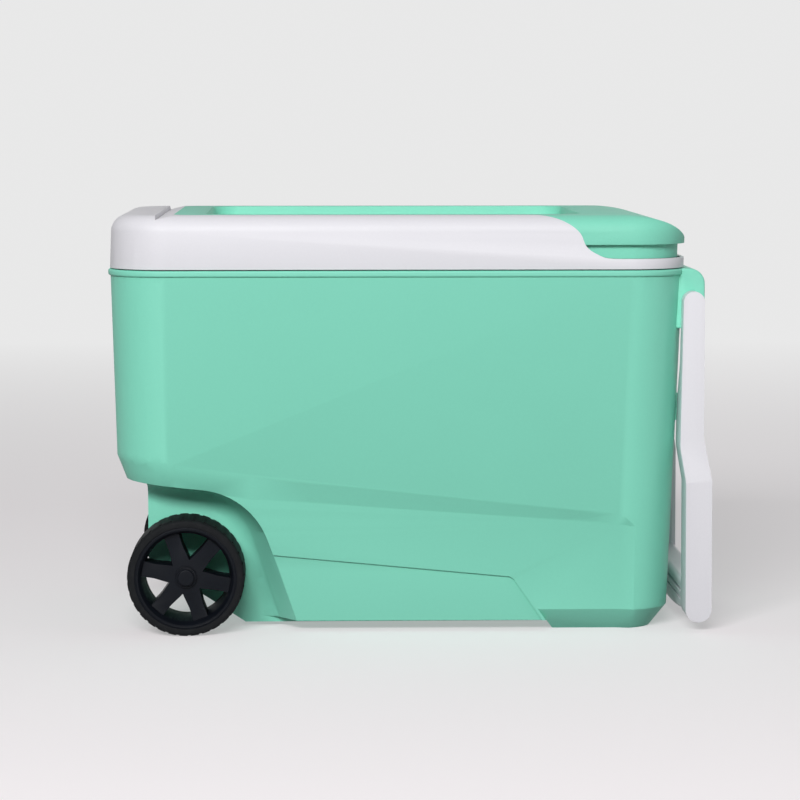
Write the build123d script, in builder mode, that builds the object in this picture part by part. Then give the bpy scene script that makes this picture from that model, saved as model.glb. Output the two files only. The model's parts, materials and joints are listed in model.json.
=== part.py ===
from build123d import *
import os
from collections import namedtuple

# A wheeled cooler: an insulated chest that stands on two wheels and a moulded foot, with a
# hinged lid and a swinging tow handle. Millimetres; X runs from the wheels to the handle,
# Y across the chest (the front is -Y), Z up from the floor. The origin is the middle of the
# overall box, on the floor.

os.makedirs("parts", exist_ok=True)

Outline = namedtuple("Outline", "z x_min x_max half_y corner")

# ---- driving dimensions -------------------------------------------------------------------
RIM_Z = 354.5  # top edge of the body
FLOOR_OUTLINE = Outline(0.0, -282.4, 256.0, 154.5, 50.0)  # drafted walls, where they meet Z=0
RIM_OUTLINE = Outline(RIM_Z, -292.0, 269.6, 170.0, 57.0)
FAR = 330.0  # beyond every side, for cutters

SHELL_WALL, WALL_TAPER = 4.0, 0.8  # the shell is thicker by the taper at the floor
LINER_WALL = 2.6

UNDERBODY_Z = 10.0  # the raised bottom on both sides of the keel
KEEL_Z = 4.0  # the keel runs along the middle, as wide as the box between the wheels
FOOT_CHAMFER_UP, FOOT_CHAMFER_IN = 21.0, 15.0

# the sloping band between the proud upper wall and the set-back lower wall
BAND_LEFT_X, BAND_PINCH_X, BAND_END_X = -228.0, 203.0, 227.0
BAND_LEFT_TOP_Z, BAND_LEFT_LOW_Z, BAND_LEFT_DEPTH = 165.0, 143.0, 8.5
BAND_MID_X, BAND_MID_TOP_Z, BAND_MID_LOW_Z, BAND_MID_DEPTH = -155.0, 155.0, 131.5, 8.0
BAND_PINCH_TOP_Z, BAND_PINCH_LOW_Z, BAND_PINCH_DEPTH = 117.0, 105.4, 5.2
BAND_END_Z = 102.5
BAND_TIP_X, BAND_TIP_Z, BAND_WRAP_HEIGHT = -280.0, 148.5, 22.5  # where it wraps round the left end
PANEL_DEPTH = 2.4  # the panel below the band is set back again

WHEEL_X, WHEEL_R, WHEEL_IN_Y, WHEEL_OUTER_Y = -218.0, 57.0, 120.0, 175.0
WELL_Y = 113.0  # half width of the narrow box between the wheels
TAIL_X, TAIL_TOP_Z = -257.0, 152.0  # that box's end wall, and where it merges into the body
ARCH_Y = 147.0  # the arch has its full outline from here outwards
WELL_BLEND = 20.0
AXLE_R = 4.0
RUNNING_GAP = 0.05

BRACKET_HALF_Y, BRACKET_X, BRACKET_LOW_Z, BRACKET_TOP_Z = 137.6, 288.8, 296.0, 354.6
PIVOT_X, PIVOT_Z, PIVOT_R = 276.2, 322.5, 5.0
ARM_IN_Y, ARM_OUT_Y, ARM_JOG = 120.0, 158.0, 7.0
ARM_TOP_IN_Y = 138.0  # the arms are thinner where they pass the rounded corners

LID_Z, LID_TOP_Z = 355.6, 407.6
LID_LOW = Outline(LID_Z, -292.3, 270.2, 170.5, 58.0)
LID_HIGH = Outline(LID_TOP_Z, -290.4, 271.6, 168.6, 56.0)
LID_ROUNDING = 17.0
LID_WALL = 3.5
LIFT_Z = 365.5  # top of the white band under the lip
LIP_Z = 379.2  # underside of the lift lip
NECK_INSET = 6.5

INSERT_LEFT_X, INSERT_HALF_Y = -229.0, 150.0
INSERT_LOW_Z = 392.0
TRAY = Outline(395.6, -196.0, 166.0, 128.0, 24.0)

HINGE_X, HINGE_Z, KNUCKLE_R, HINGE_PIN_R = -291.4, 357.6, 3.4, 1.6
HINGE_Y, KNUCKLE_LENGTH = 52.0, 14.0
HINGE_LENGTH = 3 * KNUCKLE_LENGTH

BEAD_DEPTH = 2.2
VOID_STEP_X, LINER_STEP_X = -104.0, -82.0
LINER_INSET, FLANGE_Z, LINER_TOP_Z = 25.0, 350.5, 353.5
STOP_Y = 107.0
SCREW_SEAT_X = 265.6
SEAT_R, AXLE_END_Y = 50.0, 170.5
SPOKES, TREAD_LUGS = 6, 32
PIVOT_IN_Y, PIVOT_OUT_Y = 112.0, 151.5
POCKET_LEFT_X, POCKET_RIGHT_X, POCKET_HALF_Y, POCKET_TOP_Z = 156.0, 245.0, 142.0, 393.0
ARM_RIM, ARM_RECESS = 4.5, 2.5  # the panel sunk in each arm's inner face


# ---- helpers ------------------------------------------------------------------------------
def body_outline(z, inset=0.0):
    """The drafted body's outline at a height, moved inwards by inset."""
    t = z / RIM_Z
    low, high = FLOOR_OUTLINE, RIM_OUTLINE
    x_min, x_max, half_y, corner = (low[i] + (high[i] - low[i]) * t for i in range(1, 5))
    return Outline(z, x_min + inset, x_max - inset, half_y - inset, corner - inset)


def drafted(*outlines):
    """A solid ruled between rounded rectangles at their heights."""
    with BuildPart() as block:
        for z, x_min, x_max, half_y, corner in outlines:
            with BuildSketch(Plane.XY.offset(z)):
                with Locations(((x_min + x_max) / 2, 0)):
                    RectangleRounded(x_max - x_min, 2 * half_y, corner)
        loft(ruled=True)
    return block.part


def side_prism(points, radii, y_low=-FAR, y_high=FAR):
    """The solid between two Y planes whose outline in X and Z has filleted corners."""
    with BuildPart() as prism:
        with BuildSketch(Plane.XZ.offset(-y_high)):
            with BuildLine():
                FilletPolyline(*points, radius=radii, close=True)
            make_face()
        extrude(amount=y_high - y_low)
    return prism.part


def side_wedge(stations):
    """What lies outside the set-back front wall, ruled through (x, z_top, z_low, depth)."""
    floor_z = -20.0
    with BuildPart() as wedge:
        for x, z_top, z_low, depth in stations:
            y_top = -body_outline(z_top).half_y - 0.01
            y_low = -body_outline(z_low).half_y + depth
            y_floor = -body_outline(floor_z).half_y + depth
            with BuildSketch(Plane.YZ.offset(x)):
                with BuildLine():
                    Polyline(
                        (y_top, z_top), (y_low, z_low), (y_floor, floor_z), (-FAR, floor_z), (-FAR, z_top),
                        close=True,
                    )
                make_face()
        loft(ruled=True)
    return wedge.part


def void_outline(z):
    """The inside of the outer shell's walls at a height."""
    return body_outline(z, SHELL_WALL + WALL_TAPER * (RIM_Z - z) / RIM_Z)


def wheel_plane(distance):
    """The plane across the axle, distance in front of the middle, its normal towards the front."""
    return Plane(origin=(WHEEL_X, -distance, WHEEL_R), x_dir=(1, 0, 0), z_dir=(0, -1, 0))


def lower_cavity(extra, z_floor):
    """The liner's deep part, beside the wheels, with walls moved inwards by extra."""
    with BuildPart() as deep:
        add(drafted(body_outline(z_floor, 40.0 + extra), body_outline(178.0, 31.0 + extra)))
        split(bisect_by=Plane.YZ.offset(LINER_STEP_X + extra), keep=Keep.TOP)
    return deep.part


def both_sides(piece):
    """A piece and its mirror image across the chest's middle plane."""
    with BuildPart() as pair:
        add(piece)
        mirror(about=Plane.XZ)
    return pair.part


def finish(piece, name):
    """Labels a finished piece and writes its STEP file."""
    piece.label = name
    export_step(piece, f"parts/{name}.step")


# ---- outer shell --------------------------------------------------------------------------
envelope = drafted(FLOOR_OUTLINE, RIM_OUTLINE)

# the left end's band, wrapped round its corners as one long chamfer
band_slope = (BAND_LEFT_LOW_Z - BAND_TIP_Z) / (BAND_LEFT_X - BAND_TIP_X)
band_plane = Plane(
    origin=(BAND_LEFT_X, 0, BAND_LEFT_LOW_Z), x_dir=(1, 0, band_slope), z_dir=(-band_slope, 0, 1)
)
with BuildPart() as left_end:
    add(envelope)
    split(bisect_by=band_plane, keep=Keep.TOP)
    underside = left_end.faces().sort_by(Axis.Z)[0]
    chamfer(underside.edges(), length=BAND_LEFT_DEPTH, length2=BAND_WRAP_HEIGHT, reference=underside)
    split(bisect_by=Plane.YZ.offset(BAND_LEFT_X), keep=Keep.BOTTOM)

# the narrow box between the wheels, left of the band's straight part
with BuildPart() as tail:
    add(envelope)
    with Locations(((TAIL_X + BAND_LEFT_X) / 2, 0, TAIL_TOP_Z / 2)):
        Box(BAND_LEFT_X - TAIL_X, 2 * (WELL_Y + WELL_BLEND), TAIL_TOP_Z, mode=Mode.INTERSECT)

# the foot has its bottom edge chamfered all round; the raised bottom beside it has not
with BuildPart() as foot_end:
    add(envelope)
    sole = foot_end.faces().sort_by(Axis.Z)[0]
    chamfer(sole.edges(), length=FOOT_CHAMFER_IN, length2=FOOT_CHAMFER_UP, reference=sole)
with BuildPart() as plain_bottom:
    add(envelope)
    foot_side = side_prism([(-FAR, -20), (155.5, -20), (109.9, 43), (-FAR, 43)], 0)
    add(foot_side, mode=Mode.INTERSECT)

band_stations = [
    (BAND_LEFT_X, BAND_LEFT_TOP_Z, BAND_LEFT_LOW_Z, BAND_LEFT_DEPTH),
    (BAND_MID_X, BAND_MID_TOP_Z, BAND_MID_LOW_Z, BAND_MID_DEPTH),
    (BAND_PINCH_X, BAND_PINCH_TOP_Z, BAND_PINCH_LOW_Z, BAND_PINCH_DEPTH),
]


def foot_chamfer(stations):
    """The foot's bottom edge on the front side, where the wall is set back by (x, depth)."""
    with BuildPart() as cut:
        for x, depth in stations:
            y_top = depth - body_outline(FOOT_CHAMFER_UP).half_y
            y_low = depth - body_outline(0).half_y + FOOT_CHAMFER_IN
            with BuildSketch(Plane.YZ.offset(x)):
                with BuildLine():
                    Polyline(
                        (y_top, FOOT_CHAMFER_UP), (y_low, 0), (y_low, -20), (-FAR, -20), (-FAR, FOOT_CHAMFER_UP),
                        close=True,
                    )
                make_face()
        loft(ruled=True)
    return cut.part


FOOT_START_X = 100.0
depth_slope = (BAND_MID_DEPTH - BAND_PINCH_DEPTH) / (BAND_PINCH_X - BAND_MID_X)
foot_start_depth = BAND_PINCH_DEPTH + depth_slope * (BAND_PINCH_X - FOOT_START_X)
foot_front = foot_chamfer(
    [(FOOT_START_X, foot_start_depth), (BAND_PINCH_X, BAND_PINCH_DEPTH), (BAND_END_X, 0.0)]
)
with BuildPart() as foot_front_cut:
    add(foot_front)
    add(foot_side, mode=Mode.SUBTRACT)
band_cut = side_wedge(band_stations + [(BAND_END_X, BAND_END_Z + 0.6, BAND_END_Z, 0.0)])
panel_prism = side_prism([(-226, 84.5), (100, 53.6), (143.5, -10), (-226, -10)], [0, 9, 0, 0])
with BuildPart() as panel_cut:
    add(side_wedge([(x, top, low, depth + PANEL_DEPTH) for x, top, low, depth in band_stations]))
    add(panel_prism, mode=Mode.INTERSECT)

# one wheel well, ruled from the arch's edge to a smaller outline on the inner wall
arch_edge = [(-FAR, 150.0), (-228.0, 142.9), (-155.7, 135.3), (-98.0, -20.0), (-FAR, -20.0)]
arch_inner = [(-FAR, 147.0), (-228.0, 139.0), (-172.0, 131.0), (-124.0, -20.0), (-FAR, -20.0)]
with BuildPart() as well_cut:
    for distance, outline in ((ARCH_Y, arch_edge), (WELL_Y, arch_inner)):
        with BuildSketch(Plane.XZ.offset(distance)):
            with BuildLine():
                FilletPolyline(*outline, radius=[0, 60, 75, 0, 0], close=True)
            make_face()
    loft(ruled=True)
    with BuildSketch(Plane.XZ.offset(ARCH_Y)):
        with BuildLine():
            FilletPolyline(*arch_edge, radius=[0, 60, 75, 0, 0], close=True)
        make_face()
    extrude(amount=FAR - ARCH_Y)
    inner_face = well_cut.faces().filter_by(Plane.XZ).sort_by(Axis.Y)[-1]
    blend_edges = inner_face.edges().filter_by(lambda e: e.center().Z > 0 and e.center().X > 5 - FAR)
    fillet(blend_edges, WELL_BLEND)

undercut = side_prism(
    [(-FAR, 140), (TAIL_X, 140), (TAIL_X, 64), (-199.6, 29), (-160, 3), (-150, -20), (-FAR, -20)],
    [0, 0, 12, 20, 12, 0, 0],
)
foot_lean = 0.72  # the foot's inner end leans back by this much for each millimetre of height
with BuildPart() as underbody:
    for top_z, y_low, y_high in (
        (UNDERBODY_Z, -FAR, -WELL_Y), (KEEL_Z, -WELL_Y, WELL_Y), (UNDERBODY_Z, WELL_Y, FAR),
    ):
        foot_x = 155.5 - foot_lean * (top_z + 20)
        add(side_prism([(-FAR, -20), (155.5, -20), (foot_x, top_z), (-FAR, top_z)], 0, y_low, y_high))

with BuildPart() as bead:
    add(drafted(body_outline(348.3, -BEAD_DEPTH), body_outline(RIM_Z, -BEAD_DEPTH)))
    fillet(bead.faces().sort_by(Axis.Z)[0].edges(), 2.0)
    fillet(bead.faces().sort_by(Axis.Z)[-1].edges(), 2.0)

with BuildPart() as body_void:
    add(drafted(void_outline(170.0), void_outline(RIM_Z + 1)))
    for x_min, z_low in ((TAIL_X + SHELL_WALL, 66), (-180, 22)):
        with BuildSketch(Plane.XY.offset(z_low)):
            with Locations(((x_min + VOID_STEP_X + 3) / 2, 0)):
                Rectangle(VOID_STEP_X + 3 - x_min, 2 * (WELL_Y - SHELL_WALL))
        extrude(amount=175 - z_low)
with BuildPart() as lower_void:
    add(drafted(body_outline(UNDERBODY_Z + SHELL_WALL, 14.6), body_outline(172.0, 12.4)))
    with BuildSketch(Plane.XY.offset(5)):
        with Locations((194, 0)):
            RectangleRounded(86, 274, 24)
    extrude(amount=20)
    with BuildSketch(Plane.XY.offset(KEEL_Z + SHELL_WALL)):
        with Locations(((VOID_STEP_X - 10 + 160) / 2, 0)):
            Rectangle(170 - VOID_STEP_X, 2 * (WELL_Y - SHELL_WALL))
    extrude(amount=12)
    split(bisect_by=Plane.YZ.offset(VOID_STEP_X), keep=Keep.TOP)

with BuildPart() as handle_stops:
    with Locations((245, STOP_Y, 217.5), (245, -STOP_Y, 217.5)):
        Box(43, 22, 27)
    fillet(handle_stops.faces().sort_by(Axis.X)[-2:].edges(), 2.0)

with BuildPart() as axle_bosses:
    with BuildSketch(wheel_plane(WELL_Y - 1)):
        Circle(14)
    extrude(amount=WHEEL_IN_Y - 0.3 - WELL_Y + 1)

with BuildPart() as hinge_clearance:
    for y in (-HINGE_Y, HINGE_Y):
        with BuildSketch(Plane.XZ.offset(-y)):
            with Locations((HINGE_X, HINGE_Z)):
                Circle(KNUCKLE_R + 0.4)
        extrude(amount=HINGE_LENGTH / 2 + 0.4, both=True)

# ---- hinges: each is a body leaf, a lid leaf, a pin and four screws ------------------------
LEAF_END_X, LEAF_THICK = -273.0, 1.6
BODY_LEAF_Z, LID_LEAF_Z = 352.6, 355.8


def hinge_screws(z_head, direction):
    """Two countersunk screws for each hinge leaf, heads at z_head, pointing up or down."""
    with BuildPart() as screws:
        for y in (-HINGE_Y, HINGE_Y):
            for dy in (-KNUCKLE_LENGTH, KNUCKLE_LENGTH):
                with BuildSketch(Plane.XY.offset(z_head)):
                    with Locations((-279.0, y + dy)):
                        Circle(2.4)
                extrude(amount=direction * 0.9)
                with BuildSketch(Plane.XY.offset(z_head)):
                    with Locations((-279.0, y + dy)):
                        Circle(1.4)
                extrude(amount=direction * 9.0)
    return screws.part


body_screws = hinge_screws(BODY_LEAF_Z + LEAF_THICK, -1)
lid_screws = hinge_screws(LID_LEAF_Z, 1)


def hinge_leaf(y_mid, own, others, plate_z, web, screws, bore):
    """A leaf at y_mid: a plate, its own knuckles, their webs, and room for the others' knuckles."""
    x_web, z_web = web
    with BuildPart() as leaf:
        with BuildSketch(Plane.XY.offset(plate_z)):
            with Locations(((x_web + LEAF_END_X) / 2, y_mid)):
                Rectangle(LEAF_END_X - x_web, HINGE_LENGTH)
        extrude(amount=LEAF_THICK)
        for dy in others:
            with BuildSketch(Plane.XZ.offset(-(y_mid + dy))):
                with Locations((HINGE_X, HINGE_Z)):
                    Circle(KNUCKLE_R + 0.4)
            extrude(amount=KNUCKLE_LENGTH / 2 + 0.15, both=True, mode=Mode.SUBTRACT)
        for dy in own:
            with BuildSketch(Plane.XZ.offset(-(y_mid + dy))):
                with Locations((HINGE_X, HINGE_Z)):
                    Circle(KNUCKLE_R)
                with Locations((HINGE_X, (plate_z + z_web) / 2)):
                    Rectangle(2 * (HINGE_X - x_web) + 0.2, z_web - plate_z)
            extrude(amount=KNUCKLE_LENGTH / 2 - 0.15, both=True)
        with BuildSketch(Plane.XZ.offset(-y_mid)):
            with Locations((HINGE_X, HINGE_Z)):
                Circle(bore)
        extrude(amount=HINGE_LENGTH, both=True, mode=Mode.SUBTRACT)
        add(screws, mode=Mode.SUBTRACT)
    return leaf.part


outer_offsets = (-KNUCKLE_LENGTH, KNUCKLE_LENGTH)
for side, y in (("front", -HINGE_Y), ("rear", HINGE_Y)):
    body_leaf = hinge_leaf(
        y, outer_offsets, (0,), BODY_LEAF_Z, (HINGE_X - 1.5, HINGE_Z), body_screws, HINGE_PIN_R
    )
    finish(body_leaf, f"{side}_hinge_body_leaf")
    lid_leaf = hinge_leaf(
        y, (0,), outer_offsets, LID_LEAF_Z, (HINGE_X, LID_LEAF_Z + LEAF_THICK), lid_screws,
        HINGE_PIN_R + RUNNING_GAP,
    )
    finish(lid_leaf, f"{side}_hinge_lid_leaf")
    with BuildPart() as hinge_pin:
        with BuildSketch(Plane.XZ.offset(-y)):
            with Locations((HINGE_X, HINGE_Z)):
                Circle(HINGE_PIN_R)
        extrude(amount=HINGE_LENGTH / 2, both=True)
    finish(hinge_pin.part, f"{side}_hinge_pin")
finish(body_screws, "body_hinge_screws")
finish(lid_screws, "lid_hinge_screws")

with BuildPart() as body_leaf_seats:
    with BuildSketch(Plane.XY.offset(BODY_LEAF_Z)):
        with Locations(*[((HINGE_X - 6 + LEAF_END_X) / 2, y) for y in (-HINGE_Y, HINGE_Y)]):
            Rectangle(LEAF_END_X - HINGE_X + 6, HINGE_LENGTH)
    extrude(amount=5)
with BuildPart() as lid_leaf_seats:
    with BuildSketch(Plane.XY.offset(LID_LEAF_Z - 1)):
        with Locations(*[((HINGE_X + LEAF_END_X) / 2, y) for y in (-HINGE_Y, HINGE_Y)]):
            Rectangle(LEAF_END_X - HINGE_X, HINGE_LENGTH)
    extrude(amount=LEAF_THICK + 1)

# ---- handle bracket and its screws ----------------------------------------------------------
BRACKET_SCREW_Y, BRACKET_SCREW_Z = (-98.0, -33.0, 33.0, 98.0), 304.5
with BuildPart() as bracket_screws:
    with BuildSketch(Plane.YZ.offset(SCREW_SEAT_X)):
        with Locations(*[(y, BRACKET_SCREW_Z) for y in BRACKET_SCREW_Y]):
            Circle(2.2)
    extrude(amount=13)
    with BuildSketch(Plane.YZ.offset(SCREW_SEAT_X)):
        with Locations(*[(y, BRACKET_SCREW_Z) for y in BRACKET_SCREW_Y]):
            Circle(4.2)
    extrude(amount=-3.6)
finish(bracket_screws.part, "bracket_screws")

bracket_block = side_prism(
    [(245, BRACKET_LOW_Z), (BRACKET_X, BRACKET_LOW_Z), (BRACKET_X, BRACKET_TOP_Z), (245, BRACKET_TOP_Z)],
    [0, 4, 15, 0], -BRACKET_HALF_Y, BRACKET_HALF_Y,
)
with BuildPart() as handle_bracket:
    add(bracket_block)
    fillet(handle_bracket.faces().filter_by(Axis.Y).edges().filter_by(lambda e: e.center().X > 260), 1.6)
    with BuildSketch(Plane.XY.offset(BRACKET_LOW_Z)):
        with Locations(*[(279.0, y) for y in (-78, -26, 26, 78)]):
            Rectangle(12, 48)
    extrude(amount=46, mode=Mode.SUBTRACT)
    with BuildSketch(Plane.XZ.offset(-FAR)):
        with Locations((PIVOT_X, PIVOT_Z)):
            Circle(PIVOT_R)
    extrude(amount=FAR - PIVOT_IN_Y, mode=Mode.SUBTRACT)
    with BuildSketch(Plane.XZ.offset(FAR)):
        with Locations((PIVOT_X, PIVOT_Z)):
            Circle(PIVOT_R)
    extrude(amount=-(FAR - PIVOT_IN_Y), mode=Mode.SUBTRACT)
    add(bracket_screws.part, mode=Mode.SUBTRACT)
    add(envelope, mode=Mode.SUBTRACT)
    add(bead.part, mode=Mode.SUBTRACT)
finish(handle_bracket.part, "handle_bracket")

for side, sign in (("front", 1), ("rear", -1)):
    with BuildPart() as pivot_pin:
        with BuildSketch(Plane.XZ.offset(sign * PIVOT_IN_Y)):
            with Locations((PIVOT_X, PIVOT_Z)):
                Circle(PIVOT_R)
        extrude(amount=sign * (PIVOT_OUT_Y - PIVOT_IN_Y))
    finish(pivot_pin.part, f"{side}_pivot_pin")

# ---- the shell itself -----------------------------------------------------------------------
with BuildPart() as outer_shell:
    add(foot_end.part)
    add(plain_bottom.part)
    add(both_sides(band_cut), mode=Mode.SUBTRACT)
    add(both_sides(panel_cut.part), mode=Mode.SUBTRACT)
    add(both_sides(foot_front_cut.part), mode=Mode.SUBTRACT)
    split(bisect_by=Plane.YZ.offset(BAND_LEFT_X), keep=Keep.TOP)
    add(bracket_screws.part, mode=Mode.SUBTRACT)
    add(left_end.part)
    add(tail.part)
    add(both_sides(well_cut.part), mode=Mode.SUBTRACT)
    add(undercut, mode=Mode.SUBTRACT)
    add(underbody.part, mode=Mode.SUBTRACT)
    add(bead.part)
    add(body_leaf_seats.part, mode=Mode.SUBTRACT)
    add(hinge_clearance.part, mode=Mode.SUBTRACT)
    add(both_sides(axle_bosses.part))
    add(handle_stops.part)
    add(body_void.part, mode=Mode.SUBTRACT)
    add(lower_void.part, mode=Mode.SUBTRACT)
    with BuildSketch(wheel_plane(-FAR)):
        Circle(AXLE_R)
    extrude(amount=2 * FAR, mode=Mode.SUBTRACT)
finish(outer_shell.part, "outer_shell")

# ---- liner and insulation -------------------------------------------------------------------
with BuildPart() as cavity:
    add(drafted(body_outline(175.0, 31.0), body_outline(RIM_Z + 1, LINER_INSET + LINER_WALL)))
    add(lower_cavity(LINER_WALL, 40.0))
with BuildPart() as liner_outside:
    add(drafted(body_outline(172.0, 28.0), body_outline(LINER_TOP_Z, LINER_INSET)))
    add(lower_cavity(0.0, 37.0))
with BuildPart() as inner_liner:
    add(liner_outside.part)
    add(drafted(void_outline(FLANGE_Z), void_outline(LINER_TOP_Z)))
    add(cavity.part, mode=Mode.SUBTRACT)
    add(body_leaf_seats.part, mode=Mode.SUBTRACT)
    add(body_screws, mode=Mode.SUBTRACT)
finish(inner_liner.part, "inner_liner")

with BuildPart() as body_insulation:
    add(body_void.part)
    add(lower_void.part)
    with BuildSketch(Plane.XY.offset(FLANGE_Z)):
        Rectangle(2 * FAR, 2 * FAR)
    extrude(amount=20, mode=Mode.SUBTRACT)
    add(liner_outside.part, mode=Mode.SUBTRACT)
    add(body_screws, mode=Mode.SUBTRACT)
    add(bracket_screws.part, mode=Mode.SUBTRACT)
finish(body_insulation.part, "body_insulation")

# ---- lid --------------------------------------------------------------------------------------
def lid_outline(z, inset=0.0):
    """The lid's drafted outline at a height, moved inwards by inset."""
    t = (z - LID_Z) / (LID_TOP_Z - LID_Z)
    x_min, x_max, half_y, corner = (LID_LOW[i] + (LID_HIGH[i] - LID_LOW[i]) * t for i in range(1, 5))
    return Outline(z, x_min + inset, x_max - inset, half_y - inset, corner - inset)


# what lies above the white frame at the lip end: an S-shaped fall, then the lift gap's floor
with BuildPart() as lip_zone:
    with BuildSketch(Plane.XZ.offset(-FAR)):
        with BuildLine():
            fall = Spline(
                (120.0, LID_TOP_Z), (140.0, 404.8), (157.5, 396.2), (165.6, 387.0),
                (168.2, 380.2), (172.4, 374.8), (181.0, 369.6), (206.0, LIFT_Z),
                tangents=[(1, 0), (1, 0)],
            )
            Polyline(fall @ 1, (FAR, LIFT_Z), (FAR, 430), (120.0, 430), fall @ 0)
        make_face()
    extrude(amount=2 * FAR)

with BuildPart() as lip_fall:
    with BuildSketch(Plane.XZ.offset(-FAR)):
        with BuildLine():
            crown = Spline(
                (203.0, LID_TOP_Z), (226.0, 405.8), (242.0, 402.4),
                (256.0, 396.9), (265.4, 390.4), (271.9, 382.0),
                tangents=[(1, 0), (0.5, -1)],
            )
            Polyline(crown @ 1, (300, 382.0), (300, 430), (203.0, 430), crown @ 0)
        make_face()
    extrude(amount=2 * FAR)

with BuildPart() as lid_envelope:
    add(drafted(lid_outline(LID_Z), lid_outline(LID_TOP_Z)))
    fillet(lid_envelope.faces().sort_by(Axis.Z)[-1].edges(), LID_ROUNDING)
    add(lip_fall.part, mode=Mode.SUBTRACT)

with BuildPart() as insert_zone:
    with BuildSketch(Plane.XY.offset(INSERT_LOW_Z)):
        with Locations(((INSERT_LEFT_X + 190) / 2, 0)):
            RectangleRounded(190 - INSERT_LEFT_X, 2 * INSERT_HALF_Y, 22)
    extrude(amount=40)

with BuildPart() as lid_hollow:
    add(drafted(lid_outline(LID_Z - 1, LID_WALL), lid_outline(INSERT_LOW_Z, LID_WALL + 0.6)))
with BuildPart() as frame_hollow:
    add(drafted(lid_outline(INSERT_LOW_Z - 2, 10.0), lid_outline(403.0, 10.5)))
    with BuildSketch(Plane.XY.offset(INSERT_LOW_Z - 2)):
        with Locations(((INSERT_LEFT_X - 3 + 300) / 2, 0)):
            Rectangle(303 - INSERT_LEFT_X, 2 * INSERT_HALF_Y + 6)
    extrude(amount=30, mode=Mode.SUBTRACT)

# across the hinge end, the frame's top drops in a step and rises again towards the insert
scoop = side_prism([(-246.5, 420), (-245.5, LID_TOP_Z - 4.2), (-230.5, LID_TOP_Z - 0.2), (-230.5, 420)], 0)
with BuildPart() as lid_frame:
    add(lid_envelope.part)
    add(lip_zone.part, mode=Mode.SUBTRACT)
    add(lid_hollow.part, mode=Mode.SUBTRACT)
    add(frame_hollow.part, mode=Mode.SUBTRACT)
    add(insert_zone.part, mode=Mode.SUBTRACT)
    add(hinge_clearance.part, mode=Mode.SUBTRACT)
    add(scoop, mode=Mode.SUBTRACT)
finish(lid_frame.part, "lid_frame")

with BuildPart() as lip:
    add(lid_envelope.part)
    add(lip_zone.part, mode=Mode.INTERSECT)
    with BuildSketch(Plane.XY.offset(LIP_Z)):
        Rectangle(2 * FAR, 2 * FAR)
    extrude(amount=-40, mode=Mode.SUBTRACT)
with BuildPart() as neck:
    add(drafted(lid_outline(LIFT_Z, NECK_INSET), lid_outline(LIP_Z + 1, NECK_INSET)))
    split(bisect_by=Plane.YZ.offset(152), keep=Keep.TOP)
    add(lip_zone.part, mode=Mode.INTERSECT)
with BuildPart() as insert:
    add(insert_zone.part)
    add(lid_envelope.part, mode=Mode.INTERSECT)
with BuildPart() as tray_cut:
    z, x_min, x_max, half_y, corner = TRAY
    add(drafted(TRAY, Outline(LID_TOP_Z + 1, x_min - 3, x_max + 3, half_y + 3, corner + 3)))
    fillet(tray_cut.faces().sort_by(Axis.Z)[0].edges(), 4)
with BuildPart() as lip_pocket:
    with BuildSketch(Plane.XY.offset(LIFT_Z - 10)):
        with Locations(((POCKET_LEFT_X + POCKET_RIGHT_X) / 2, 0)):
            Rectangle(POCKET_RIGHT_X - POCKET_LEFT_X, 2 * POCKET_HALF_Y)
    extrude(amount=POCKET_TOP_Z - LIFT_Z + 10)
with BuildPart() as rim_hollow:
    with BuildSketch(Plane.XY.offset(INSERT_LOW_Z - 1)):
        with Locations(((INSERT_LEFT_X + 3.5 + POCKET_LEFT_X) / 2, 0)):
            RectangleRounded(POCKET_LEFT_X - INSERT_LEFT_X - 3.5, 2 * INSERT_HALF_Y - 7, 18.5)
        with Locations(((TRAY.x_min - 6.5 + POCKET_LEFT_X + 9) / 2, 0)):
            Rectangle(POCKET_LEFT_X + 9 - TRAY.x_min + 6.5, 2 * TRAY.half_y + 13, mode=Mode.SUBTRACT)
    extrude(amount=12.5)
with BuildPart() as lid_top:
    add(lip.part)
    add(neck.part)
    add(insert.part)
    add(tray_cut.part, mode=Mode.SUBTRACT)
    add(lip_pocket.part, mode=Mode.SUBTRACT)
    add(rim_hollow.part, mode=Mode.SUBTRACT)
finish(lid_top.part, "lid_top")

PAN_Z, PAN_TOP_Z, PLUG_Z = 355.8, 359.0, 344.5
with BuildPart() as plug_inside:
    add(drafted(body_outline(PLUG_Z + 3, LINER_INSET + 9), body_outline(PAN_TOP_Z, LINER_INSET + 8)))
with BuildPart() as lid_liner:
    add(drafted(lid_outline(PAN_Z, LID_WALL + 0.1), lid_outline(PAN_TOP_Z, LID_WALL + 0.2)))
    add(drafted(body_outline(PLUG_Z, LINER_INSET + 6), body_outline(PAN_TOP_Z, LINER_INSET + 5)))
    add(plug_inside.part, mode=Mode.SUBTRACT)
    add(lid_leaf_seats.part, mode=Mode.SUBTRACT)
    add(hinge_clearance.part, mode=Mode.SUBTRACT)
    add(lid_screws, mode=Mode.SUBTRACT)
finish(lid_liner.part, "lid_liner")

with BuildPart() as lid_insulation:
    with BuildSketch(Plane.XY.offset(PAN_TOP_Z)):
        with Locations(((POCKET_LEFT_X - 269) / 2, 0)):
            Rectangle(POCKET_LEFT_X + 269, 2 * POCKET_HALF_Y)
    extrude(amount=INSERT_LOW_Z - PAN_TOP_Z)
    with BuildSketch(Plane.XY.offset(PAN_TOP_Z)):
        with Locations(((POCKET_LEFT_X + POCKET_RIGHT_X) / 2, 0)):
            Rectangle(POCKET_RIGHT_X - POCKET_LEFT_X, 2 * POCKET_HALF_Y)
    extrude(amount=POCKET_TOP_Z - PAN_TOP_Z)
    add(plug_inside.part)
    add(lid_screws, mode=Mode.SUBTRACT)
finish(lid_insulation.part, "lid_insulation")

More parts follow.
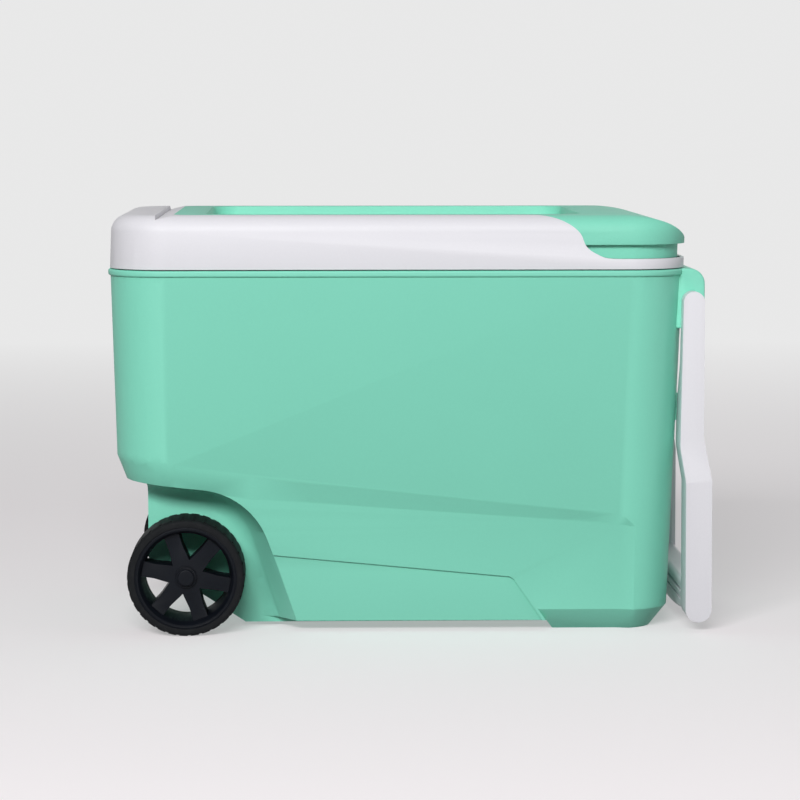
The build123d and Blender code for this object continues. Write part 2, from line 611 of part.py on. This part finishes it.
# ---- tow handle -------------------------------------------------------------------------------
arm_profile = [
    (266.0, 333.0), (286.3, 333.0), (286.6, 190.0), (294.2, 149.0),
    (294.8, 9.8), (269.4, 9.8), (268.8, 147.0), (263.6, 180.0),
]
arm_radii = [10.0, 10.0, 25, 30, 12.5, 12.5, 25, 25]


def arm_jog(y_top, y_high, y_low, y_far):
    """Everything beyond an arm's stepped face: y_top at the pivot, y_high and y_low at the bend."""
    with BuildPart() as jog:
        with BuildSketch(Plane.YZ.offset(240)):
            with BuildLine():
                Polyline(
                    (-y_far, 400), (-y_top, 400), (-y_top, 262), (-y_high, 222), (-y_high, 187),
                    (-y_low, 147), (-y_low, -10), (-y_far, -10),
                    close=True,
                )
            make_face()
        extrude(amount=80)
    return jog.part


with BuildPart() as arm_recess:
    with BuildSketch(Plane.XZ.offset(ARM_IN_Y - 5)):
        with BuildLine():
            FilletPolyline(*arm_profile, radius=arm_radii, close=True)
        make_face()
        offset(amount=-ARM_RIM, mode=Mode.REPLACE)
    extrude(amount=60)
    add(
        arm_jog(ARM_TOP_IN_Y + ARM_RECESS, ARM_IN_Y + ARM_RECESS, ARM_IN_Y + ARM_JOG + ARM_RECESS, 100),
        mode=Mode.INTERSECT,
    )

with BuildPart() as arm:
    add(side_prism(arm_profile, arm_radii, -(ARM_OUT_Y + ARM_JOG), -ARM_IN_Y))
    add(arm_jog(ARM_OUT_Y, ARM_OUT_Y, ARM_OUT_Y + ARM_JOG, 200), mode=Mode.SUBTRACT)
    add(arm_jog(ARM_TOP_IN_Y, ARM_IN_Y, ARM_IN_Y + ARM_JOG, 100), mode=Mode.SUBTRACT)
    add(arm_recess.part, mode=Mode.SUBTRACT)
    with BuildSketch(Plane.XZ.offset(ARM_IN_Y)):
        with Locations((PIVOT_X, PIVOT_Z)):
            Circle(PIVOT_R + RUNNING_GAP)
    extrude(amount=PIVOT_OUT_Y - ARM_IN_Y + 0.5, mode=Mode.SUBTRACT)

with BuildPart() as grip:
    with BuildSketch(Plane.YZ.offset(269.6)):
        with BuildLine():
            sag = ThreePointArc((-129, 17.5), (0, 9.4), (129, 17.5))
            Polyline(sag @ 1, (129, 46), (-129, 46), sag @ 0)
        make_face()
    extrude(amount=25)
    fillet(grip.edges().filter_by(lambda e: abs(e.center().Y) < 1 and e.length > 200), 5)
    with BuildSketch(Plane.XZ.offset(-122)):
        with Locations((278, 35.0)):
            Rectangle(21, 4)
        with Locations((278, 26.6)):
            Rectangle(21, 2.6)
    extrude(amount=244, mode=Mode.SUBTRACT)

with BuildPart() as tow_handle:
    add(both_sides(arm.part))
    add(grip.part)
finish(tow_handle.part, "tow_handle")

# ---- wheels ------------------------------------------------------------------------------------
with BuildPart() as axle:
    with BuildSketch(wheel_plane(-AXLE_END_Y)):
        Circle(AXLE_R)
    extrude(amount=2 * AXLE_END_Y)
finish(axle.part, "axle")

wheel_axis = Axis((WHEEL_X, 0, WHEEL_R), (0, 1, 0))
with BuildSketch() as spoke:
    with BuildLine():
        Polyline((0, 9), (18, 8.2), (30, 7), (43, 7.4), (43, -7.4), (30, -7), (18, -8.2), (0, -9), close=True)
    make_face()
across = Plane(origin=(WHEEL_X, 0, WHEEL_R), x_dir=(0, -1, 0), z_dir=(-1, 0, 0))
with BuildPart() as wheel:
    with BuildSketch(across):
        with BuildLine():
            Polyline(
                (WHEEL_IN_Y + 1, SEAT_R), (WHEEL_OUTER_Y - 1, SEAT_R), (WHEEL_OUTER_Y - 1, 46.5), (168, 43.5),
                (150, 41.5), (WHEEL_IN_Y + 1, 41.5), close=True,
            )
        make_face()
    revolve(axis=wheel_axis)
    with BuildSketch(wheel_plane(138)):
        with PolarLocations(0, SPOKES, start_angle=-11):
            add(spoke.sketch)
    extrude(amount=28)
    with BuildSketch(wheel_plane(WHEEL_IN_Y)):
        Circle(12)
    extrude(amount=166 - WHEEL_IN_Y)
    with BuildSketch(wheel_plane(166)):
        Circle(10.5)
    extrude(amount=2.4)
    with BuildSketch(wheel_plane(WHEEL_IN_Y - 1)):
        Circle(AXLE_R + RUNNING_GAP)
    extrude(amount=60, mode=Mode.SUBTRACT)

with BuildPart() as tyre:
    with BuildSketch(across):
        with BuildLine():
            FilletPolyline(
                (WHEEL_IN_Y, SEAT_R), (WHEEL_OUTER_Y, SEAT_R), (WHEEL_OUTER_Y, WHEEL_R), (WHEEL_IN_Y, WHEEL_R),
                radius=[0, 0, 4, 4], close=True,
            )
        make_face()
    revolve(axis=wheel_axis)
    with BuildSketch(wheel_plane(WHEEL_OUTER_Y - 8)):
        with PolarLocations(WHEEL_R + 0.9, TREAD_LUGS, start_angle=3):
            Rectangle(4, 3.2)
    extrude(amount=20, mode=Mode.SUBTRACT)
    with BuildSketch(wheel_plane(100)):
        with PolarLocations(WHEEL_R + 0.9, TREAD_LUGS, start_angle=3 + 180 / TREAD_LUGS):
            Rectangle(4, 3.2)
    extrude(amount=28, mode=Mode.SUBTRACT)

with BuildPart() as axle_cap:
    with BuildSketch(wheel_plane(168.8)):
        Circle(8.2)
    extrude(amount=3.8)
    fillet(axle_cap.faces().sort_by(Axis.Y)[0].edges(), 1.5)
    with BuildSketch(wheel_plane(160)):
        Circle(AXLE_R)
    extrude(amount=AXLE_END_Y - 160, mode=Mode.SUBTRACT)

for name, piece in (("wheel", wheel), ("tyre", tyre), ("axle_cap", axle_cap)):
    finish(piece.part, f"front_{name}")
    with BuildPart() as rear:
        mirror(piece.part, about=Plane.XZ)
    finish(rear.part, f"rear_{name}")
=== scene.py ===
"""The looks of a wheeled cooler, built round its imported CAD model.

Metres, in the CAD frame: X from the wheels to the tow handle, the front side at -Y, Z up from the floor.
"""

import json
import math

import bmesh
import bpy
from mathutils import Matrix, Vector


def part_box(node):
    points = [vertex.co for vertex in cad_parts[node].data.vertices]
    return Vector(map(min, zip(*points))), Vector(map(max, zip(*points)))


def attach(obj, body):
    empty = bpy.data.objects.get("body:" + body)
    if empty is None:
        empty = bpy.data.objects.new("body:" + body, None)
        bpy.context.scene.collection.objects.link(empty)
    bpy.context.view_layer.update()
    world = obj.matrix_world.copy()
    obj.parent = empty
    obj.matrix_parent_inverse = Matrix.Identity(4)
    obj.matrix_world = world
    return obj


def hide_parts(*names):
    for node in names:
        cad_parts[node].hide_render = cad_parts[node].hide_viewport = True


MM = 0.001

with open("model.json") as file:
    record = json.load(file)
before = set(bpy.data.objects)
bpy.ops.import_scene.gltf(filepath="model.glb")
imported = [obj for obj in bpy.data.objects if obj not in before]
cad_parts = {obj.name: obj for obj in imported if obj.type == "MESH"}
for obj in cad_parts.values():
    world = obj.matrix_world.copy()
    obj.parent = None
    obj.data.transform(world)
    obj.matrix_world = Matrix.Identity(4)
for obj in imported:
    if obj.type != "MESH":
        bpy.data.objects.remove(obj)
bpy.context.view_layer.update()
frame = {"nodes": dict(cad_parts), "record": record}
nodes = frame["nodes"]
body_of = {n: body for body, names in frame["record"]["behaviour"]["bodies"].items() for n in names}
slot_of = {s["node"]: s["material_slot"] for s in frame["record"]["subparts"]}


# ---- node helpers ---------------------------------------------------------------------------
class Shader:
    """A material under construction: a Principled shader with a few node shorthands."""

    def __init__(self, name, color, roughness, metallic=0.0, specular=0.5):
        self.material = bpy.data.materials.new(name)
        self.material.use_nodes = True
        self.tree = self.material.node_tree
        self.surface = self.tree.nodes["Principled BSDF"]
        self.color, self.roughness = color, roughness
        self.surface.inputs["Base Color"].default_value = (*color, 1)
        self.surface.inputs["Roughness"].default_value = roughness
        self.surface.inputs["Metallic"].default_value = metallic
        self.surface.inputs["Specular IOR Level"].default_value = specular
        coordinates = self.tree.nodes.new("ShaderNodeTexCoord")
        self.place = coordinates.outputs["Object"]
        self.normal = None

    def node(self, kind, inputs=(), **settings):
        made = self.tree.nodes.new(kind)
        for key, value in settings.items():
            setattr(made, key, value)
        for key, value in dict(inputs).items():
            if isinstance(value, bpy.types.NodeSocket):
                self.tree.links.new(value, made.inputs[key])
            else:
                made.inputs[key].default_value = value
        return made

    def noise(self, size, detail=2.0, roughness=0.5, stretch=(1, 1, 1)):
        """Noise from 0 to 1 whose lumps are about size metres across."""
        mapping = self.node("ShaderNodeMapping", {"Vector": self.place, "Scale": stretch})
        texture = self.node(
            "ShaderNodeTexNoise",
            {"Vector": mapping.outputs[0], "Scale": 1 / size, "Detail": detail, "Roughness": roughness},
        )
        return texture.outputs["Fac"]

    def ramp(self, value, low, high, to_low=0.0, to_high=1.0):
        """Maps value's range from low to high onto to_low to to_high, and holds it there outside."""
        made = self.node(
            "ShaderNodeMapRange",
            {"Value": value, "From Min": low, "From Max": high, "To Min": to_low, "To Max": to_high},
            clamp=True,
        )
        return made.outputs["Result"]

    def math(self, operation, a, b=0.0):
        return self.node("ShaderNodeMath", {0: a, 1: b}, operation=operation).outputs[0]

    def tint(self, share, color):
        """Mixes a colour over the base colour by share."""
        mix = self.node("ShaderNodeMix", {"Factor": share}, data_type="RGBA")
        socket = self.surface.inputs["Base Color"]
        if socket.is_linked:
            self.tree.links.new(socket.links[0].from_socket, mix.inputs["A"])
        else:
            mix.inputs["A"].default_value = (*self.color, 1)
        mix.inputs["B"].default_value = (*color, 1)
        self.tree.links.new(mix.outputs["Result"], socket)

    def rough(self, share, other):
        """Varies the roughness towards another value by share."""
        change = self.math("MULTIPLY", share, other - self.roughness)
        self.tree.links.new(self.math("ADD", change, self.roughness), self.surface.inputs["Roughness"])

    def bump(self, height, depth, strength=1.0):
        """Raises the surface by height (0 to 1) times depth metres."""
        inputs = {"Height": height, "Distance": depth, "Strength": strength}
        if self.normal is not None:
            inputs["Normal"] = self.normal
        self.normal = self.node("ShaderNodeBump", inputs).outputs["Normal"]
        self.tree.links.new(self.normal, self.surface.inputs["Normal"])


def shade(color, factor):
    """A colour made lighter or darker by a factor."""
    return tuple(min(1.0, c * factor) for c in color)


# ---- materials ------------------------------------------------------------------------------
MINT = (0.235, 0.735, 0.555)
WHITE = (0.80, 0.79, 0.835)
BLACK = (0.0045, 0.006, 0.0095)


def moulded_plastic(name, color, roughness, grain, grain_depth, pebble=0.0):
    """Textured moulded plastic: a fine grain, faint flow marks and uneven gloss."""
    s = Shader(name, color, roughness)
    s.tint(s.ramp(s.noise(90 * MM, 3), 0.35, 0.7, 0, 0.35), shade(color, 0.965))
    s.tint(s.ramp(s.noise(2.2 * MM, 2), 0.4, 0.75, 0, 0.25), shade(color, 1.05))
    s.rough(s.noise(35 * MM, 4), roughness + 0.12)
    s.bump(s.noise(grain, 2, 0.6), grain_depth)
    if pebble:
        cells = s.node(
            "ShaderNodeTexVoronoi", {"Vector": s.place, "Scale": 1 / pebble, "Smoothness": 0.6},
            feature="SMOOTH_F1",
        )
        s.bump(cells.outputs["Distance"], 0.12 * MM, 0.8)
    return s.material


def brushed_steel():
    s = Shader("steel", (0.55, 0.55, 0.56), 0.35, metallic=1.0)
    streaks = s.noise(1.5 * MM, 3, 0.6, stretch=(1, 0.05, 1))
    s.rough(streaks, 0.5)
    s.bump(streaks, 0.01 * MM)
    s.tint(s.ramp(s.noise(12 * MM, 3), 0.5, 0.8, 0, 0.4), (0.36, 0.36, 0.38))
    return s.material


def wheel_plastic():
    s = Shader("wheel_plastic", BLACK, 0.36, specular=0.14)
    s.tint(s.ramp(s.noise(25 * MM, 3), 0.45, 0.75, 0, 0.5), shade(BLACK, 1.6))
    s.rough(s.noise(9 * MM, 4), 0.55)
    s.bump(s.noise(0.5 * MM, 2), 0.012 * MM)
    return s.material


def tread_rubber():
    s = Shader("tread_rubber", (0.008, 0.009, 0.0105), 0.6, specular=0.15)
    s.tint(s.ramp(s.noise(8 * MM, 5, 0.7), 0.5, 0.8, 0, 0.45), (0.022, 0.023, 0.025))
    s.rough(s.noise(5 * MM, 4), 0.8)
    s.bump(s.noise(0.8 * MM, 3), 0.03 * MM)
    return s.material


def rigid_foam():
    s = Shader("foam", (0.83, 0.74, 0.52), 0.9, specular=0.2)
    cells = s.node("ShaderNodeTexVoronoi", {"Vector": s.place, "Scale": 1 / (1.5 * MM)})
    s.bump(cells.outputs["Distance"], 0.3 * MM)
    s.tint(s.noise(20 * MM, 3), (0.72, 0.6, 0.38))
    return s.material


MATERIALS = {
    "mint_plastic": moulded_plastic("mint_plastic", MINT, 0.5, 0.7 * MM, 0.02 * MM),
    "white_plastic": moulded_plastic("white_plastic", WHITE, 0.45, 0.9 * MM, 0.015 * MM),
    "black_plastic": wheel_plastic(),
    "tread": tread_rubber(),
    "steel": brushed_steel(),
    "foam": rigid_foam(),
}
MINT_PEBBLED = moulded_plastic("mint_pebbled", MINT, 0.55, 1.0 * MM, 0.03 * MM, pebble=1.6 * MM)


# ---- pieces made from CAD nodes, with their edges rounded ----------------------------------------
WELD, FLAT_ANGLE = 0.01 * MM, 0.4  # vertices nearer than this are joined; degrees that count as flat
EDGE_ANGLE, EDGE_SEGMENTS = 28, 3  # edges sharper than this many degrees are rounded


def rounded(node, width, material=None):
    """A copy of a CAD node whose sharp edges are rounded by width metres; it stands for the node."""
    mesh = nodes[node].data.copy()
    mesh.name = node + "_mesh"
    bm = bmesh.new()
    bm.from_mesh(mesh)
    bmesh.ops.remove_doubles(bm, verts=bm.verts, dist=WELD)
    bmesh.ops.dissolve_limit(
        bm, angle_limit=math.radians(FLAT_ANGLE), verts=bm.verts, edges=bm.edges
    )
    bm.to_mesh(mesh)
    bm.free()
    piece = bpy.data.objects.new(node + "_rounded", mesh)
    bpy.context.scene.collection.objects.link(piece)
    bevel = piece.modifiers.new("edges", "BEVEL")
    bevel.width = width
    bevel.segments = EDGE_SEGMENTS
    bevel.limit_method = "ANGLE"
    bevel.angle_limit = math.radians(EDGE_ANGLE)
    bevel.harden_normals = True
    bevel.use_clamp_overlap = True
    mesh.materials.clear()
    mesh.materials.append(material or MATERIALS[slot_of[node]])
    mesh.shade_smooth()
    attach(piece, body_of[node])
    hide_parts(node)


RING_TURNS, RING_SIDES, RING_FLATNESS = 96, 8, 0.7


def ring(wheel, y, radius, tube):
    """A thin raised bead round the axle on a wheel's outer face, riding with that wheel."""
    low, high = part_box(wheel)
    bm = bmesh.new()
    loops = []
    for i in range(RING_TURNS):
        turn = 2 * math.pi * i / RING_TURNS
        loop = []
        for j in range(RING_SIDES):
            around = 2 * math.pi * j / RING_SIDES
            r = radius + tube * math.cos(around)
            height = tube * math.sin(around) * RING_FLATNESS
            loop.append(bm.verts.new((r * math.cos(turn), height, r * math.sin(turn))))
        loops.append(loop)
    for this, after in zip(loops, loops[1:] + loops[:1]):
        for j in range(RING_SIDES):
            k = (j + 1) % RING_SIDES
            bm.faces.new((this[j], this[k], after[k], after[j]))
    bmesh.ops.recalc_face_normals(bm, faces=bm.faces)
    mesh = bpy.data.meshes.new("bead")
    bm.to_mesh(mesh)
    bm.free()
    mesh.shade_smooth()
    mesh.materials.append(MATERIALS["black_plastic"])
    bead = bpy.data.objects.new(f"{wheel}_bead", mesh)
    bead.location = ((low[0] + high[0]) / 2, y, (low[2] + high[2]) / 2)
    bpy.context.scene.collection.objects.link(bead)
    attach(bead, body_of[wheel])


ROUNDED = {
    "outer_shell": (1.2 * MM, None),
    "lid_frame": (1.2 * MM, None),
    "lid_top": (1.4 * MM, MINT_PEBBLED),
    "lid_liner": (0.8 * MM, None),
    "inner_liner": (2.0 * MM, None),
    "handle_bracket": (0.8 * MM, None),
    "tow_handle": (0.9 * MM, None),
    "front_wheel": (0.8 * MM, None),
    "rear_wheel": (0.8 * MM, None),
    "front_tyre": (0.5 * MM, None),
    "rear_tyre": (0.5 * MM, None),
    "front_axle_cap": (0.4 * MM, None),
    "rear_axle_cap": (0.4 * MM, None),
}
for name, (width, material) in ROUNDED.items():
    rounded(name, width, material)

RIM_RING_IN, RIM_TUBE = 1.8 * MM, 0.8 * MM  # the rim's bead, in from the rim's edge
HUB_SETBACK, HUB_RING, HUB_TUBE = 5.6 * MM, 10.0 * MM, 0.5 * MM  # the hub's face lies behind the rim's
for wheel, side in (("front_wheel", -1), ("rear_wheel", 1)):
    low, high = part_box(wheel)
    outer_y = low[1] if side < 0 else high[1]
    rim = (high[2] - low[2]) / 2
    ring(wheel, outer_y, rim - RIM_RING_IN, RIM_TUBE)
    ring(wheel, outer_y - side * HUB_SETBACK, HUB_RING, HUB_TUBE)

for name, node in nodes.items():
    if name not in ROUNDED:
        node.data.materials.clear()
        node.data.materials.append(MATERIALS[slot_of[name]])


# ---- stage, light and camera ---------------------------------------------------------------------
FLOOR_GLOW, WALL_GLOW = 0.36, 0.805
GLOW_START_Y, GLOW_END_Y = 0.8, 3.6  # the floor's glow rises to the wall's between these
FLOOR_COLOR = (0.63, 0.585, 0.605)  # a little less green, because the body throws green on it
WALL_COLOR = (0.02, 0.02, 0.02)
WORLD_STRENGTH = 0.15


def backdrop():
    """A pale floor that curves up into a wall behind the object."""
    half, back, radius, height, steps = 30.0, 4.0, 2.0, 12.0, 24
    profile = [(-half, 0.0)]
    for i in range(steps + 1):
        a = math.pi / 2 * i / steps
        profile.append((back + radius * math.sin(a), radius * (1 - math.cos(a))))
    profile.append((back + radius, height))
    bm = bmesh.new()
    rows = [[bm.verts.new((x, y, z)) for x in (-half, half)] for y, z in profile]
    for a, b in zip(rows[:-1], rows[1:]):
        bm.faces.new((a[0], a[1], b[1], b[0]))
    mesh = bpy.data.meshes.new("floor")
    bm.to_mesh(mesh)
    bm.free()
    mesh.shade_smooth()
    s = Shader("floor_paper", FLOOR_COLOR, 0.9, specular=0.0)
    depth = s.node("ShaderNodeSeparateXYZ", {"Vector": s.place}).outputs["Y"]
    s.tint(s.ramp(depth, GLOW_START_Y, GLOW_END_Y), WALL_COLOR)
    glow = s.ramp(depth, GLOW_START_Y, GLOW_END_Y, FLOOR_GLOW, WALL_GLOW)
    s.surface.inputs["Emission Color"].default_value = (1, 1, 1, 1)
    s.tree.links.new(glow, s.surface.inputs["Emission Strength"])
    mesh.materials.append(s.material)
    floor = bpy.data.objects.new("floor", mesh)
    bpy.context.scene.collection.objects.link(floor)
    floor.visible_diffuse = False  # a bright floor would fill the shadows under the body


def area_light(name, place, target, size, power):
    """A rectangular lamp of the given power in watts, aimed at target."""
    light = bpy.data.lights.new(name, "AREA")
    light.shape = "RECTANGLE"
    light.size, light.size_y = size
    light.energy = power
    lamp = bpy.data.objects.new(name, light)
    lamp.location = place
    lamp.rotation_euler = (Vector(target) - Vector(place)).to_track_quat("-Z", "Y").to_euler()
    bpy.context.scene.collection.objects.link(lamp)


backdrop()
world = bpy.data.worlds.new("studio")
bpy.context.scene.world = world
world.use_nodes = True
sky = world.node_tree.nodes["Background"]
sky.inputs["Color"].default_value = (1, 1, 1, 1)
sky.inputs["Strength"].default_value = WORLD_STRENGTH
middle = (0, 0, 0.2)
area_light("key", (-0.9, -3.8, 2.2), middle, (2.4, 1.0), 160)
area_light("back", (1.6, 3.4, 1.8), middle, (2.4, 1.6), 12)
area_light("side", (3.2, -1.6, 1.0), middle, (1.6, 1.8), 10)

bpy.context.scene.view_settings.view_transform = "Standard"

CAMERA_PLACE = (-0.09541, -3.025, 0.50231)
CAMERA_DOWN, CAMERA_TURN = 5.454, -1.7092  # degrees below level, and about the vertical
camera = bpy.data.objects.new("camera", bpy.data.cameras.new("camera"))
camera.data.lens = 133.6
camera.data.sensor_width = 36.0
camera.location = CAMERA_PLACE
camera.rotation_euler = (math.radians(90 - CAMERA_DOWN), 0, math.radians(CAMERA_TURN))
camera.data.clip_end = 60
bpy.context.scene.collection.objects.link(camera)
bpy.context.scene.camera = camera
